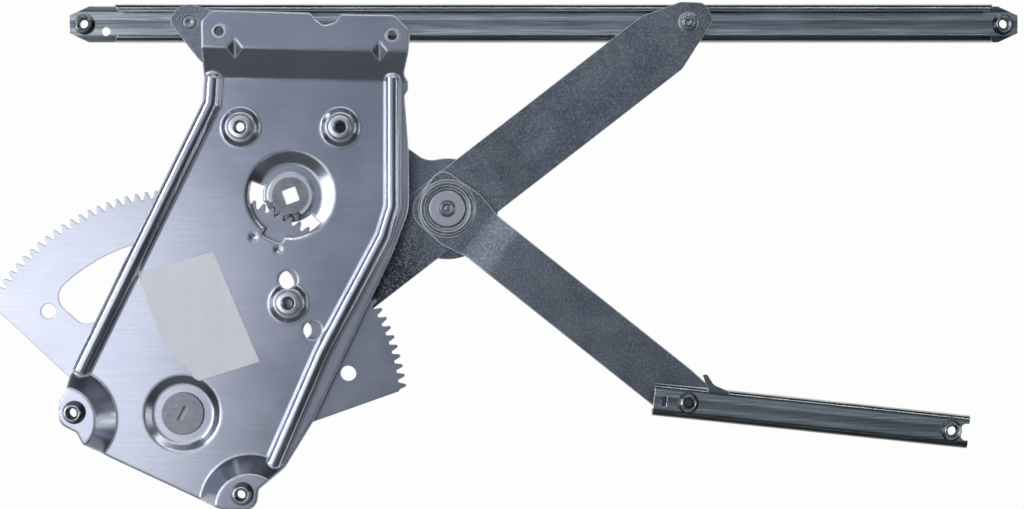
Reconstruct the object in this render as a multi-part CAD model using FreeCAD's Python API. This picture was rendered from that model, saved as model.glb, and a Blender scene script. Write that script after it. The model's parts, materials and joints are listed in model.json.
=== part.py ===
import FreeCAD, Part
import math
import os

# Crossed-arm window regulator for a car door, in millimetres.
# X runs along the glass rail, Z is up, and Y runs from the door's inner panel towards the glass.
# The origin is the mouth of the drive socket, level with the main face of the base plate.
# A toothed sector turns on a rivet in the base plate and carries the lift arm. The two halves of the
# equaliser arm are riveted together through the lift arm's middle, and keep the glass rail level.

Vector = FreeCAD.Vector

# Gear mesh: module, teeth on the full circle of the sector and on the pinion, and profile shift
gear_module = 1.75
sector_teeth = 140
pinion_teeth = 13
pressure_angle = 20.0
profile_shift = 0.3
tooth_thinning = 0.12
root_clearance = 0.25
mesh_angle = 63.75
centre_distance = gear_module * (sector_teeth + pinion_teeth) / 2

# Pivots, seen from the inner panel
pivot_x = -centre_distance * math.cos(math.radians(mesh_angle))
pivot_z = -centre_distance * math.sin(math.radians(mesh_angle))
lift_angle = 37.8
centre_reach = 184.2
lift_tip_reach = 169.1
upper_half_reach = 176.6
lower_half_reach = 170.85
lower_half_angle = -38.53
guide_tilt = -6.0

# Sheet thicknesses
plate_sheet = 2.0
sector_sheet = 3.0
lift_sheet = 3.0
equaliser_sheet = 2.5
glass_rail_sheet = 1.5
guide_rail_sheet = 1.5

# Clearances
running_gap = 0.3
shaft_gap = 0.06
roller_gap = 0.4

# Base plate: depth of its pressings and size of its flange, ribs, bosses and ears
flange_rise = 12.0
dish_depth = 3.0
boss_rise = 2.5
rib_rise = 4.5
rib_end_taper = 0.3
step_foot = 64.0
step_head = 79.5
flange_tilt = 1.2
left_rib_radius = 5.0
right_rib_radius = 4.2
dish_radius = 24.75
dish_floor_radius = 17.6
recess_radius = 21.2
recess_floor_radius = 16.5
boss_radius = 11.0
boss_top_radius = 8.0
ear_radius = 28.2
ear_top_radius = 18.3
bend_radius = 1.5
dimple_radius = 2.9
dimple_tip_radius = 0.8
dimple_hollow_radius = 2.5
dimple_hollow_depth = 1.0
dimple_reach = 104.5
dimple_angles = (59.8, 68.2)
sight_hole_radius = 5.0
sight_hole_places = ((-1.1, -46.5), (12.3, -74.2))
dart_places = (-29.6, 49.4)
dart_half_width = 4.4
dart_reach = 5.5
step_strip = (57.0, 110.0)
mesh_window_radii = (15.2, 22.5)
mesh_window_angles = (160.0, 318.0)
collar_gap_angles = (195.0, 311.0)
mesh_notch_radii = (20.0, 26.6)
mesh_notch_angles = (233.0, 261.0)
mesh_notch_corner = 1.5
cut_margin = 0.001

# Nuts: thread bore, hole in the sheet, and the round bodies
thread_radius = 2.5
nut_hole_radius = 3.4
nut_taper = 0.72
door_nut_flange_radius = 6.4
door_nut_height = 7.5
panel_nut_radius = 6.0
panel_nut_height = 4.5
motor_nut_radius = 6.4
motor_nut_height = 2.2
rail_nut_radius = 5.9
rail_nut_height = 5.0

# Sector
sector_axis = 78.3
sector_half_angle = 72.5
sector_hub_radius = 28.5
window_inner = 70.0
window_outer = 97.0
window_corner = 9.0
window_angles = ((48.0, 82.0), (95.0, 139.0))
sector_hole_reach = 93.5
sector_hole_offset = 64.7
sector_hole_radius = 4.2
tool_hole_place = (80.0, -4.0)

# Pivot rivet of the sector
pivot_shank_radius = 6.5
pivot_head_radius = 11.7
pivot_head_height = 2.2
pivot_tail_radius = 10.0
pivot_tail_height = 1.8
pivot_washer_sheet = 0.9
pivot_washer_radius = 12.0
pivot_slot = (8.6, 2.0, 0.8)
pivot_slot_turn = 62.0

# Pinion, its collar and its retaining ring
journal_radius = 10.2
collar_wall = 1.9
collar_rise = 1.8
ring_sheet = 0.8
ring_outer_radius = 12.2
groove_depth = 0.8
ring_lip = 0.3
ring_opening = 100.0
ring_turn = 250.0
socket_width = 8.3
socket_corner = 1.0
socket_turn = 20.0
pinion_flange_radius = 14.6
pinion_flange_sheet = 1.8

# Lift arm and the two equaliser halves
lift_half_width = 18.5
lift_root = 26.0
lift_joggle = 3.0
lift_joggle_start = 31.0
joggle_run = 5.0
joggle_bend = 4.0
lower_half_width = 14.3
lower_joggle = 3.7
lower_joggle_start = 21.8
upper_half_width = 14.6
upper_hub_radius = 28.0
hub_nose = 17.0
hub_bead_inner = 11.4
hub_bead_outer = 15.8
hub_bead_rise = 1.2
waist_radius = 12.0

# Centre rivet
bush_radius = 9.0
centre_shank_radius = 4.0
centre_head_radius = 4.7
centre_head_height = 1.4
centre_washer_radius = 9.9
centre_washer_sheet = 1.3
centre_tail_radius = 8.0
centre_tail_height = 1.6

# Rivets between sector and lift arm
sector_rivet_radius = 4.0
sector_rivet_head_radius = 6.0
sector_rivet_head_height = 1.3
sector_rivet_places = ((42.0, 9.5), (42.0, -9.5), (106.0, 0.0))

# Rails
glass_rail_start = -126.0
glass_rail_end = 405.5
glass_rail_height = 21.0
glass_rail_depth = 12.0
glass_rail_lip = 4.0
guide_rail_start = -20.6
guide_rail_end = 152.0
guide_rail_height = 18.0
guide_rail_depth = 11.0
guide_rail_lip = 3.5
rail_nut_inset = 8.5
glass_rail_cut_backs = (26.0, 15.0)
glass_rail_taper = (14.0, 4.5)
locating_hole_inset = 20.5
locating_hole_drop = 4.0
locating_hole_radius = 2.4
guide_nut_along = (-2.0, 142.3)
fork_depth = 4.0
fork_half_width = 4.5
guide_slot_along = (-16.4, -13.6)
guide_slot_across = (-3.4, 2.2)

# Rollers and their pins
roller_width = 6.0
guide_roller_width = 5.5
pin_radius = 4.0
guide_pin_radius = 3.5
pin_head_radius = 5.8
pin_head_height = 1.4
roller_bevel = 1.0

# Depths, from the inner panel's side to the glass side
plate_front = 0.0
flange_front = plate_front - flange_rise
dish_front = plate_front + dish_depth
dish_back = dish_front + plate_sheet
sector_front = dish_back + running_gap
sector_back = sector_front + sector_sheet
lift_front = sector_back
lift_back = lift_front + lift_sheet
lower_hub_back = lift_front - running_gap
lower_hub_front = lower_hub_back - equaliser_sheet
upper_front = lift_back + running_gap
upper_back = upper_front + equaliser_sheet
centre_tail_back = upper_back + centre_tail_height
glass_rail_front = centre_tail_back + 2 * running_gap
glass_rail_back = glass_rail_front + glass_rail_depth
lift_tip_front = lift_front + lift_joggle
lift_tip_back = lift_tip_front + lift_sheet
lower_tip_front = lower_hub_front - lower_joggle
lower_tip_back = lower_tip_front + equaliser_sheet
guide_rail_front = flange_front
guide_rail_back = guide_rail_front + guide_rail_depth

# Radii of the gears
sector_pitch = gear_module * sector_teeth / 2
pinion_pitch = gear_module * pinion_teeth / 2
sector_tip = sector_pitch + gear_module * (1 - profile_shift)
sector_root = sector_pitch - gear_module * (1 + profile_shift + root_clearance)
pinion_tip = pinion_pitch + gear_module * (1 + profile_shift)
pinion_root = pinion_pitch - gear_module * (1 - profile_shift + root_clearance)


def polar(x, z, reach, angle):
    """Point at a distance and an angle from +X towards +Z."""
    turn = math.radians(angle)
    return (x + reach * math.cos(turn), z + reach * math.sin(turn))


centre_x, centre_z = polar(pivot_x, pivot_z, centre_reach, lift_angle)
tip_x, tip_z = polar(centre_x, centre_z, lift_tip_reach, lift_angle)
upper_half_angle = 180 - math.degrees(math.asin((tip_z - centre_z) / upper_half_reach))
upper_x, upper_z = polar(centre_x, centre_z, upper_half_reach, upper_half_angle)
lower_x, lower_z = polar(centre_x, centre_z, lower_half_reach, lower_half_angle)


def front_plane(depth):
    """Maps drawing coordinates onto the plane that faces the inner panel, at one depth."""
    return lambda a, b: Vector(a, depth, b)


def side_plane(a, b):
    """Maps a length and a depth onto the plane that a profile is drawn in."""
    return Vector(a, b, 0)


def rounded_wire(corners, place):
    """Closed wire through corners (a, b, radius), with a tangent arc at each corner that has a radius."""
    count = len(corners)
    starts = []
    ends = []
    edges = []
    for index in range(count):
        a, b, radius = corners[index]
        before = Vector(corners[index - 1][0] - a, corners[index - 1][1] - b, 0)
        after = Vector(corners[(index + 1) % count][0] - a, corners[(index + 1) % count][1] - b, 0)
        before.normalize()
        after.normalize()
        if radius == 0:
            starts.append(place(a, b))
            ends.append(place(a, b))
            continue
        half = before.getAngle(after) / 2
        setback = radius / math.tan(half)
        middle = before + after
        middle.normalize()
        inset = radius / math.sin(half) - radius
        first = (a + before.x * setback, b + before.y * setback)
        last = (a + after.x * setback, b + after.y * setback)
        starts.append(place(*first))
        ends.append(place(*last))
        crown = place(a + middle.x * inset, b + middle.y * inset)
        edges.append(Part.Arc(starts[-1], crown, ends[-1]).toShape())
    for index in range(count):
        following = (index + 1) % count
        if ends[index].distanceToPoint(starts[following]) > 1e-6:
            edges.append(Part.LineSegment(ends[index], starts[following]).toShape())
    return Part.Wire(Part.__sortEdges__(edges))


def slab(corners, front, back):
    """Flat piece of sheet with an outline (x, z, radius), between two depths."""
    return Part.Face(rounded_wire(corners, front_plane(front))).extrude(Vector(0, back - front, 0))


def disc(x, z, radius, front, back):
    """Round slug along Y between two depths."""
    return Part.makeCylinder(radius, back - front, Vector(x, front, z), Vector(0, 1, 0))


def washer(x, z, inner, outer, front, back):
    """Flat ring along Y between two depths."""
    return disc(x, z, outer, front, back).cut(disc(x, z, inner, front - 1, back + 1))


def turned(profile, x, z):
    """Solid of revolution about an axis along Y, from its corners (radius, depth)."""
    corners = [side_plane(radius, depth) for radius, depth in profile + profile[:1]]
    face = Part.Face(Part.makePolygon(corners))
    solid = face.revolve(Vector(0, 0, 0), Vector(0, 1, 0), 360)
    solid.translate(Vector(x, 0, z))
    return solid


def pressed(profile, x, z, sheet):
    """Round pressing in a sheet: its front line (radius, depth) and the same line one sheet behind."""
    behind = [(radius, depth + sheet) for radius, depth in reversed(profile)]
    return turned(profile + behind, x, z)


def bent_strip(line, sheet, half_width):
    """Strip along X bent in Y: a front line (length, depth, bend), its sheet, and its width along Z."""
    behind = [(length, depth + sheet, bend) for length, depth, bend in reversed(line)]
    face = Part.Face(rounded_wire(line + behind, side_plane))
    face.translate(Vector(0, 0, -half_width))
    return face.extrude(Vector(0, 0, 2 * half_width))


def set_along(shape, x, z, angle):
    """Turns a shape drawn along X to its angle and moves its start to a pivot."""
    shape.rotate(Vector(0, 0, 0), Vector(0, -1, 0), angle)
    shape.translate(Vector(x, 0, z))
    return shape


def tube(points, radius, depth):
    """Round bar along a line of points (x, z), mitred at its bends."""
    path = [Vector(x, depth, z) for x, z in points]
    circle = Part.Wire(Part.makeCircle(radius, path[0], path[1] - path[0]))
    return Part.Solid(Part.makePolygon(path).makePipeShell([circle], True, False, 1))


def drawn_in_end(end, before, radius, depth):
    """Short cone that closes a round bar at one end."""
    outward = Vector(end[0] - before[0], 0, end[1] - before[1])
    return Part.makeCone(radius, radius * rib_end_taper, radius, Vector(end[0], depth, end[1]), outward)


def dart(x):
    """Tetrahedron across the step's upper bend, which presses a V into it."""
    slope = flange_rise / (step_head - step_foot)
    above = Vector(x, flange_front, step_head + dart_reach)
    below = Vector(x, flange_front + dart_reach * slope, step_head - dart_reach)
    left = Vector(x - dart_half_width, flange_front, step_head)
    right = Vector(x + dart_half_width, flange_front, step_head)
    sides = ((above, below, left), (above, below, right), (above, left, right), (below, left, right))
    shell = Part.Shell([Part.Face(Part.makePolygon(list(side) + [side[0]])) for side in sides])
    solid = Part.Solid(shell)
    if solid.Volume < 0:
        solid.reverse()
    return solid


def ring_segment(x, z, inner, outer, start, end, front, back, corner=0.0):
    """Piece of a flat ring between two angles, with rounded corners where a radius is given."""
    first = Part.Arc(*[Vector(polar(x, z, outer, a)[0], front, polar(x, z, outer, a)[1])
                       for a in (start, (start + end) / 2, end)]).toShape()
    second = Part.Arc(*[Vector(polar(x, z, inner, a)[0], front, polar(x, z, inner, a)[1])
                        for a in (end, (start + end) / 2, start)]).toShape()
    joins = []
    for angle in (start, end):
        low = polar(x, z, inner, angle)
        high = polar(x, z, outer, angle)
        join = Part.LineSegment(Vector(low[0], front, low[1]), Vector(high[0], front, high[1]))
        joins.append(join.toShape())
    wire = Part.Wire(Part.__sortEdges__([first, second] + joins))
    piece = Part.Face(wire).extrude(Vector(0, back - front, 0))
    if corner:
        upright = [edge for edge in piece.Edges if abs(edge.tangentAt(edge.FirstParameter).y) > 0.99]
        piece = piece.makeFillet(corner, upright)
    return piece


def tooth_half_angle(radius, pitch, teeth, shift):
    """Half the angle that a tooth fills at one radius, by the involute of its base circle."""
    pressure = math.radians(pressure_angle)
    thickness = gear_module * (math.pi / 2 + 2 * shift * math.tan(pressure)) - tooth_thinning
    base = pitch * math.cos(pressure)
    inside = math.acos(min(1.0, base / radius))
    involute = math.tan(pressure) - pressure - (math.tan(inside) - inside)
    return math.degrees(thickness / (2 * pitch) + involute)


def toothed_line(x, z, pitch, root, tip, teeth, shift, first, count):
    """Points (x, z, 0) round count teeth, the first of them centred on an angle."""
    step = 360.0 / teeth
    base = pitch * math.cos(math.radians(pressure_angle))
    form = max(base, root)
    radii = [root] + [form + (tip - form) * share for share in (0.0, 0.5, 1.0)]
    if form == root:
        radii = radii[1:]
    points = []
    for index in range(count):
        middle = first + index * step
        rise = [(radius, middle - tooth_half_angle(max(radius, form), pitch, teeth, shift))
                for radius in radii]
        fall = [(radius, 2 * middle - angle) for radius, angle in reversed(rise)]
        points += [polar(x, z, radius, angle) + (0,) for radius, angle in rise + fall]
    return points


def clinch_nut(x, z, seat, flange, crown_radius, height, outward, pilot):
    """Round nut tapered from its seat to its crown, with a pilot through the sheet; outward is -1 or 1 in Y."""
    crown = seat + outward * height
    foot = seat - outward * pilot
    profile = [(flange, seat), (crown_radius, crown), (thread_radius, crown), (thread_radius, foot)]
    if pilot:
        profile += [(nut_hole_radius, foot), (nut_hole_radius, seat)]
    return turned(profile, x, z)


# Middles of the two ears, and places of the nuts: on the top flange, on the ears, on the motor bosses
ear_middles = ((-123.5, -123.0), (-21.5, -170.5))
panel_nut_places = ((-37.7, 89.4), (56.7, 86.9))
ear_nut_places = ((-116.7, -118.6), (-25.1, -163.0))
boss_places = ((-27.2, 37.5), (27.7, 37.5), (-0.8, -59.3))

# Outline of the base plate's main panel with its ears, from the top left round by the bottom
panel_outline = [
    (-47.2, 60.0, 0), (-47.9, 50.9, 6), (-115.8, -93.5, 8), (-120.2, -98.5, 4), (-121.0, -107.5, 3),
    (-125.0, -112.5, 6), (-125.0, -125.0, 7), (-115.5, -129.5, 4), (-112.0, -136.0, 4), (-100.4, -143.5, 6),
    (-49.2, -167.4, 8), (-34.5, -172.0, 5), (-17.5, -172.0, 7), (-16.0, -160.5, 3), (-3.0, -150.0, 4),
    (13.2, -123.5, 20), (56.0, -33.0, 25), (65.4, -8.0, 25), (65.4, 22.0, 60), (62.9, 55.0, 3),
    (64.9, 58.0, 1), (64.9, 60.0, 0),
]

# Outline of the step and the top flange, with the dip in its upper edge
flange_outline = [
    (-47.2, 58.0, 0), (-47.6, 95.2, 3), (-41.5, 101.0, 3), (12.0, 99.5, 2), (14.8, 95.8, 1.5),
    (19.6, 92.6, 3), (25.6, 94.4, 3), (28.6, 98.9, 2), (58.0, 98.3, 5), (66.6, 89.5, 5), (65.6, 78.0, 4),
    (62.6, 66.5, 4), (64.9, 62.5, 1), (64.9, 58.0, 0),
]

# Lines of the two stiffening ribs, from the step down to the ears
left_rib = [(-42.3, 65.0), (-43.3, 50.5), (-115.4, -97.0)]
right_rib = [(56.5, 65.0), (56.5, -6.0), (51.5, -22.5), (17.8, -86.0), (-10.2, -150.0)]


def base_plate():
    """Stamped plate: main panel, step and flange, ribs, dish, recess, bosses, ears and holes."""
    back = plate_front + plate_sheet
    plate = slab(panel_outline, plate_front, back)

    strip_start, strip_end = step_strip
    step_line = [(strip_end, flange_front, 0), (step_head, flange_front, bend_radius),
                 (step_foot, plate_front, bend_radius), (strip_start, plate_front, 0)]
    step = bent_strip(step_line, plate_sheet, step_head)
    step.rotate(Vector(0, 0, 0), Vector(0, 1, 0), -90)
    for x in dart_places:
        behind = dart(x)
        behind.translate(Vector(0, plate_sheet, 0))
        step = step.fuse(behind).cut(dart(x))
    step.rotate(Vector(0, 0, step_foot), Vector(0, 1, 0), flange_tilt)
    step = step.common(slab(flange_outline, flange_front - 1, back + 1))
    plate = plate.fuse(step)

    for line, radius in ((left_rib, left_rib_radius), (right_rib, right_rib_radius)):
        middle = plate_front - rib_rise + radius
        outer = tube(line, radius, middle).multiFuse([drawn_in_end(line[0], line[1], radius, middle),
                                                      drawn_in_end(line[-1], line[-2], radius, middle)])
        room = outer.BoundBox
        keep = Part.makeBox(room.XLength, back - room.YMin, room.ZLength,
                            Vector(room.XMin, room.YMin, room.ZMin))
        inner_line = [(line[0][0], step_foot - radius)] + line[1:]
        inner = tube(inner_line, radius - plate_sheet, middle)
        plate = plate.fuse(outer.common(keep)).cut(inner)

    for (x, z), top, foot, rise in (
            (ear_middles[0], ear_top_radius, ear_radius, flange_rise),
            (ear_middles[1], ear_top_radius, ear_radius, flange_rise),
            (boss_places[0], boss_top_radius, boss_radius, boss_rise),
            (boss_places[1], boss_top_radius, boss_radius, boss_rise),
            (boss_places[2], boss_top_radius, boss_radius, boss_rise),
            ((pivot_x, pivot_z), recess_floor_radius, recess_radius, -dish_depth),
            ((0.0, 0.0), dish_floor_radius, dish_radius, -dish_depth)):
        floor = plate_front - rise
        line = [(0, floor), (top, floor), (foot, plate_front)]
        far = back + cut_margin
        room = line + [(foot, far), (0, far)]
        if rise < 0:
            room = [(0, plate_front - 1), (foot, plate_front - 1), (foot, far), (0, far)]
        sheet = pressed(line, x, z, plate_sheet)
        if rise == flange_rise:
            sheet = sheet.common(slab(panel_outline, floor - 1, back + 1))
        plate = plate.cut(turned(room, x, z)).fuse(sheet)

    collar_bore = journal_radius + shaft_gap
    plate = plate.fuse(disc(0, 0, collar_bore + collar_wall, dish_front - collar_rise, dish_front))
    plate = plate.cut(disc(0, 0, collar_bore, dish_front - 5, dish_back + 1))
    front = dish_front - 5
    window_inner_radius, window_outer_radius = mesh_window_radii
    plate = plate.cut(ring_segment(0, 0, window_inner_radius, window_outer_radius, *mesh_window_angles,
                                   front, dish_back + 1))
    plate = plate.cut(ring_segment(0, 0, collar_bore - 2, window_outer_radius, *collar_gap_angles,
                                   front, dish_back + 1))
    plate = plate.cut(ring_segment(0, 0, *mesh_notch_radii, *mesh_notch_angles, front, dish_back + 1,
                                   mesh_notch_corner))

    for angle in dimple_angles:
        x, z = polar(pivot_x, pivot_z, dimple_reach, angle)
        dimple = turned([(0, back), (dimple_radius, back), (dimple_tip_radius, sector_front),
                         (0, sector_front)], x, z)
        hollow = turned([(0, plate_front), (dimple_hollow_radius, plate_front),
                         (0, plate_front + dimple_hollow_depth)], x, z)
        plate = plate.fuse(dimple).cut(hollow)

    for x, z in ear_nut_places + boss_places + panel_nut_places:
        plate = plate.cut(disc(x, z, nut_hole_radius, flange_front - 5, back + 5))
    plate = plate.cut(disc(pivot_x, pivot_z, pivot_shank_radius, plate_front, dish_back + 1))
    for x, z in sight_hole_places:
        plate = plate.cut(disc(x, z, sight_hole_radius, flange_front, back + 5))
    return plate.removeSplitter()


def sector_gear():
    """Flat toothed segment with two tangent sides, two windows and its holes."""
    step = 360.0 / sector_teeth
    first_tooth = math.ceil((sector_axis - sector_half_angle - mesh_angle) / step + 0.5)
    last_tooth = math.floor((sector_axis + sector_half_angle - mesh_angle) / step - 0.5)
    count = last_tooth - first_tooth + 1
    rim = toothed_line(pivot_x, pivot_z, sector_pitch, sector_root, sector_tip, sector_teeth,
                       -profile_shift, mesh_angle + first_tooth * step, count)
    side = math.degrees(math.acos(sector_hub_radius / sector_root))
    right_foot = sector_axis - sector_half_angle - side
    left_foot = sector_axis + sector_half_angle + side
    start = polar(pivot_x, pivot_z, sector_root, sector_axis - sector_half_angle)
    end = polar(pivot_x, pivot_z, sector_root, sector_axis + sector_half_angle)
    line = [start] + [(x, z) for x, z, corner in rim] + [end]
    line.append(polar(pivot_x, pivot_z, sector_hub_radius, left_foot))
    points = [Vector(x, sector_front, z) for x, z in line]
    edges = [Part.LineSegment(a, b).toShape() for a, b in zip(points, points[1:])]
    foot_arc = [polar(pivot_x, pivot_z, sector_hub_radius, angle)
                for angle in (left_foot, (left_foot + right_foot + 360) / 2, right_foot + 360)]
    arc = [Vector(x, sector_front, z) for x, z in foot_arc]
    edges.append(Part.Arc(*arc).toShape())
    edges.append(Part.LineSegment(arc[-1], points[0]).toShape())
    sector = Part.Face(Part.Wire(edges)).extrude(Vector(0, sector_sheet, 0))

    front = sector_front - 1
    back = sector_back + 1
    for start_angle, end_angle in window_angles:
        sector = sector.cut(ring_segment(pivot_x, pivot_z, window_inner, window_outer,
                                         start_angle, end_angle, front, back, window_corner))
    for offset in (-sector_hole_offset, sector_hole_offset):
        x, z = polar(pivot_x, pivot_z, sector_hole_reach, sector_axis + offset)
        sector = sector.cut(disc(x, z, sector_hole_radius, front, back))
    sector = sector.cut(disc(pivot_x, pivot_z, pivot_shank_radius + shaft_gap, front, back))
    for along, across in sector_rivet_places:
        hole = disc(along, across, sector_rivet_radius, front, back)
        sector = sector.cut(set_along(hole, pivot_x, pivot_z, lift_angle))
    return sector.cut(tool_hole())


def tool_hole():
    """Cutter for the setting hole that goes through the sector and the lift arm."""
    hole = disc(*tool_hole_place, sight_hole_radius, sector_front - 1, lift_back + 1)
    return set_along(hole, pivot_x, pivot_z, lift_angle)


def lift_arm():
    """Long flat arm, joggled towards the glass past the centre rivet, with a tapered tip."""
    tip = centre_reach + lift_tip_reach
    joggle = centre_reach + lift_joggle_start
    line = [(lift_root, lift_front, 0), (joggle, lift_front, joggle_bend),
            (joggle + joggle_run, lift_tip_front, joggle_bend), (tip + 20, lift_tip_front, 0)]
    arm = bent_strip(line, lift_sheet, lift_half_width + 3)
    w = lift_half_width
    outline = [(lift_root, -w, 8), (tip - 18.5, -w, 8), (tip + 12.0, -7.5, 5), (tip + 13.5, 3.0, 5),
               (tip + 3.5, 11.5, 8), (tip - 19.0, w, 8), (lift_root, w, 8)]
    arm = arm.common(slab(outline, lift_front - 1, lift_tip_back + 1))
    arm = arm.cut(disc(centre_reach, 0, bush_radius + shaft_gap, lift_front - 1, lift_back + 1))
    arm = arm.cut(disc(tip, 0, pin_radius, lift_tip_front - 1, lift_tip_back + 1))
    for along, across in sector_rivet_places:
        arm = arm.cut(disc(along, across, sector_rivet_radius, lift_front - 1, lift_back + 1))
    return set_along(arm, pivot_x, pivot_z, lift_angle).cut(tool_hole())


def lower_equaliser_arm():
    """Front half of the equaliser: beaded hub, joggle towards the inner panel, and a blunt end."""
    w = lower_half_width
    reach = lower_half_reach
    joggle = lower_joggle_start
    line = [(-hub_nose - 2, lower_hub_front, 0), (joggle, lower_hub_front, joggle_bend),
            (joggle + joggle_run, lower_tip_front, joggle_bend), (reach + 15, lower_tip_front, 0)]
    arm = bent_strip(line, equaliser_sheet, hub_nose + 3)
    outline = [(-hub_nose, -hub_nose + 1.0, 11), (10.0, -hub_nose - 0.5, 8), (joggle + 3, -w, 12),
               (reach - 8.0, -w, 8), (reach + 7.2, -6.5, 5), (reach + 10.5, 6.0, 6),
               (reach + 1.8, w - 0.8, 3), (reach - 10.0, w, 10), (joggle + 3, w, 12),
               (10.0, hub_nose + 0.5, 8), (-hub_nose, hub_nose - 1.0, 7)]
    arm = arm.common(slab(outline, lower_tip_front - 1, lower_hub_back + 1))
    bead_middle = (hub_bead_inner + hub_bead_outer) / 2
    bead_top = lower_hub_front - hub_bead_rise
    bead = [(hub_bead_inner, lower_hub_front), (bead_middle - 1.0, bead_top), (bead_middle + 1.0, bead_top),
            (hub_bead_outer, lower_hub_front)]
    ring = bead + [(hub_bead_outer, lower_hub_back), (hub_bead_inner, lower_hub_back)]
    arm = arm.fuse(turned(ring, 0, 0))
    arm = arm.cut(turned([(hub_bead_inner + 0.8, lower_hub_back), (bead_middle, bead_top + 1.4),
                          (hub_bead_outer - 0.8, lower_hub_back)], 0, 0))
    arm = arm.cut(disc(0, 0, centre_shank_radius, lower_tip_front - 1, lower_hub_back + 1))
    arm = arm.cut(disc(reach, 0, guide_pin_radius, lower_tip_front - 1, lower_tip_back + 1))
    return set_along(arm, centre_x, centre_z, lower_half_angle)


def upper_equaliser_arm():
    """Rear half of the equaliser: a large round hub that guides the lift arm, and a rounded tip."""
    w = upper_half_width
    reach = upper_half_reach
    outline = [(0, -w, 0), (reach - 8.0, -w + 1.0, 12), (reach + 6.0, -8.0, 6), (reach + 10.0, -3.0, 5),
               (reach + 10.0, 6.5, 5), (reach - 17.0, w - 0.5, 8), (0, w, 0)]
    arm = slab(outline, upper_front, upper_back).fuse(disc(0, 0, upper_hub_radius, upper_front, upper_back))
    arm = arm.removeSplitter()
    neck = math.sqrt(upper_hub_radius ** 2 - w ** 2)
    waist = [edge for edge in arm.Edges if abs(edge.CenterOfMass.x - neck) < 1.5
             and abs(abs(edge.CenterOfMass.z) - w) < 0.6 and edge.Length < equaliser_sheet + 0.01]
    arm = arm.makeFillet(waist_radius, waist)
    arm = arm.cut(disc(0, 0, centre_shank_radius, upper_front - 1, upper_back + 1))
    arm = arm.cut(disc(reach, 0, pin_radius, upper_front - 1, upper_back + 1))
    return set_along(arm, centre_x, centre_z, upper_half_angle)


def drive_pinion():
    """Pinion with a front journal for the collar, a ring groove, a rear flange and a square hole."""
    tooth_back = sector_back + running_gap
    step = 360.0 / pinion_teeth
    teeth = toothed_line(0, 0, pinion_pitch, pinion_root, pinion_tip, pinion_teeth, profile_shift,
                         mesh_angle + 180 + step / 2, pinion_teeth)
    pinion = slab(teeth, sector_front, tooth_back)
    groove = journal_radius - groove_depth
    ring_front = plate_front + ring_lip
    journal = [(0, plate_front), (journal_radius, plate_front), (journal_radius, ring_front),
               (groove, ring_front), (groove, ring_front + ring_sheet),
               (journal_radius, ring_front + ring_sheet), (journal_radius, sector_front), (0, sector_front)]
    pinion = pinion.fuse(turned(journal, 0, 0))
    pinion = pinion.fuse(disc(0, 0, pinion_flange_radius, tooth_back, tooth_back + pinion_flange_sheet))
    half = socket_width / 2
    corners = [(a, b, socket_corner)
               for a, b in ((-half, -half), (half, -half), (half, half), (-half, half))]
    socket = slab(corners, plate_front - 1, tooth_back + pinion_flange_sheet + 1)
    return pinion.cut(set_along(socket, 0, 0, socket_turn)).removeSplitter()


def pinion_ring():
    """Open retaining ring in the journal's groove, in front of the collar."""
    half = ring_opening / 2
    front = plate_front + ring_lip
    return ring_segment(0, 0, journal_radius - groove_depth, ring_outer_radius, ring_turn + half,
                        ring_turn + 360 - half, front, front + ring_sheet, 0.6)


def pivot_rivet():
    """Shouldered rivet that the sector turns on, with its head in the plate's recess."""
    shank_back = sector_back + running_gap + pivot_washer_sheet
    front = dish_front - pivot_head_height
    rivet = turned([(0, front), (pivot_head_radius, front), (pivot_head_radius, dish_front),
                    (pivot_shank_radius, dish_front), (pivot_shank_radius, shank_back),
                    (pivot_tail_radius, shank_back), (pivot_tail_radius, shank_back + pivot_tail_height),
                    (0, shank_back + pivot_tail_height)], pivot_x, pivot_z)
    length, width, depth = pivot_slot
    slot = Part.makeBox(length, depth, width, Vector(-length / 2, front, -width / 2))
    return rivet.cut(set_along(slot, pivot_x, pivot_z, pivot_slot_turn))


def channel(start, end, height, depth, sheet, lip, web_depth, open_depth):
    """Channel section along X between two depths, with its web at one and its lips at the other."""
    inward = 1 if open_depth > web_depth else -1
    half = height / 2
    mouth = half - lip
    inside = open_depth - inward * sheet
    bend = 2 * sheet
    web_inside = web_depth + inward * sheet
    profile = [(web_depth, -half, bend), (open_depth, -half, bend), (open_depth, -mouth, 0),
               (inside, -mouth, 0), (inside, -half + sheet, sheet), (web_inside, -half + sheet, sheet),
               (web_inside, half - sheet, sheet), (inside, half - sheet, sheet), (inside, mouth, 0),
               (open_depth, mouth, 0), (open_depth, half, bend), (web_depth, half, bend)]
    face = Part.Face(rounded_wire(profile, lambda a, b: Vector(start, a, b)))
    return face.extrude(Vector(end - start, 0, 0))


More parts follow.
